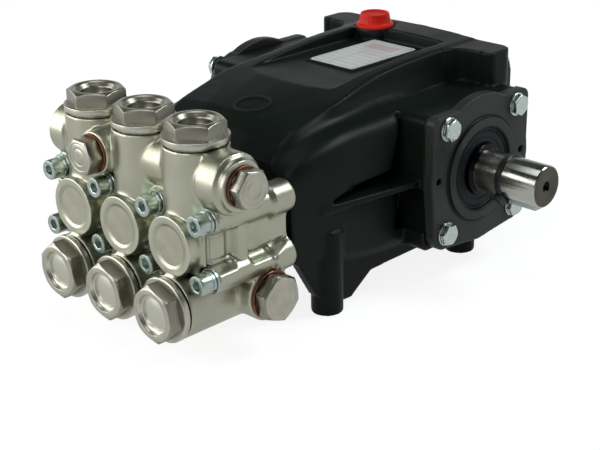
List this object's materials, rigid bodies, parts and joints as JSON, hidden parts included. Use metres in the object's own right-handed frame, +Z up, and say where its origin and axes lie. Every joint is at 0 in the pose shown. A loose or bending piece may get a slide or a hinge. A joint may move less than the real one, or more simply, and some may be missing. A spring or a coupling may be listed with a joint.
{
  "type": "high pressure plunger pump",
  "caption": "Plunger pump with a nickel-plated valve head bolted to a black crankcase on feet; a keyed shaft turns at one side.",
  "frame": {"origin": "on the floor at the middle of the four feet", "axes": "+X out of the drive shaft end, -Y towards the pump head, +Z up"},
  "size_m": [0.274, 0.315, 0.153],
  "materials": {
    "crankcase_black": "satin black over cast metal",
    "cover_black": "satin black",
    "head_nickel": "nickel-plated casting",
    "washer_copper": "dull copper",
    "plug_nickel": "nickel-plated",
    "screw_zinc": "zinc-plated, slightly green",
    "bolt_zinc": "bright zinc",
    "seal_rubber": "smooth blue-black",
    "shaft_steel": "ground steel",
    "key_steel": "plain steel",
    "tie_plastic": "black nylon",
    "cap_red": "red plastic",
    "plate_plain": "plain light label",
    "sight_glass": "clear plastic over oil"
  },
  "bodies": {
    "pump_body": {"crankcase": "crankcase_black", "rear_cover": "crankcase_black", "rear_cover_bolt_1": "bolt_zinc", "rear_cover_bolt_2": "bolt_zinc", "rear_cover_bolt_3": "bolt_zinc", "rear_cover_bolt_4": "bolt_zinc", "oil_level_glass": "sight_glass", "oil_drain_plug": "bolt_zinc", "oil_filler_cap": "cap_red", "name_plate": "plate_plain", "bearing_cover_right": "cover_black", "bearing_cover_left": "cover_black", "cover_bolt_right_1": "bolt_zinc", "cover_bolt_right_2": "bolt_zinc", "cover_bolt_right_3": "bolt_zinc", "cover_bolt_right_4": "bolt_zinc", "cover_bolt_left_1": "bolt_zinc", "cover_bolt_left_2": "bolt_zinc", "cover_bolt_left_3": "bolt_zinc", "cover_bolt_left_4": "bolt_zinc", "oil_seal": "seal_rubber", "pump_head": "head_nickel", "delivery_valve_plug_1": "plug_nickel", "delivery_valve_plug_2": "plug_nickel", "delivery_valve_plug_3": "plug_nickel", "suction_valve_plug_1": "plug_nickel", "suction_valve_plug_2": "plug_nickel", "suction_valve_plug_3": "plug_nickel", "head_screw_1": "screw_zinc", "head_screw_2": "screw_zinc", "head_screw_3": "screw_zinc", "head_screw_4": "screw_zinc", "head_screw_5": "screw_zinc", "head_screw_6": "screw_zinc", "head_screw_7": "screw_zinc", "head_screw_8": "screw_zinc", "outlet_plug": "plug_nickel", "outlet_washer": "washer_copper", "inlet_plug": "plug_nickel", "inlet_washer": "washer_copper", "front_plug": "plug_nickel", "front_washer": "washer_copper"},
    "crank": {"crankshaft": "shaft_steel", "shaft_key": "key_steel", "cable_tie": "tie_plastic"}
  },
  "joints": [
    {"name": "crankshaft_spin", "type": "hinge", "parent": "pump_body", "child": "crank", "pos_m": [0, 0.047, 0.074], "axis": [1, 0, 0], "continuous": true}
  ]
}
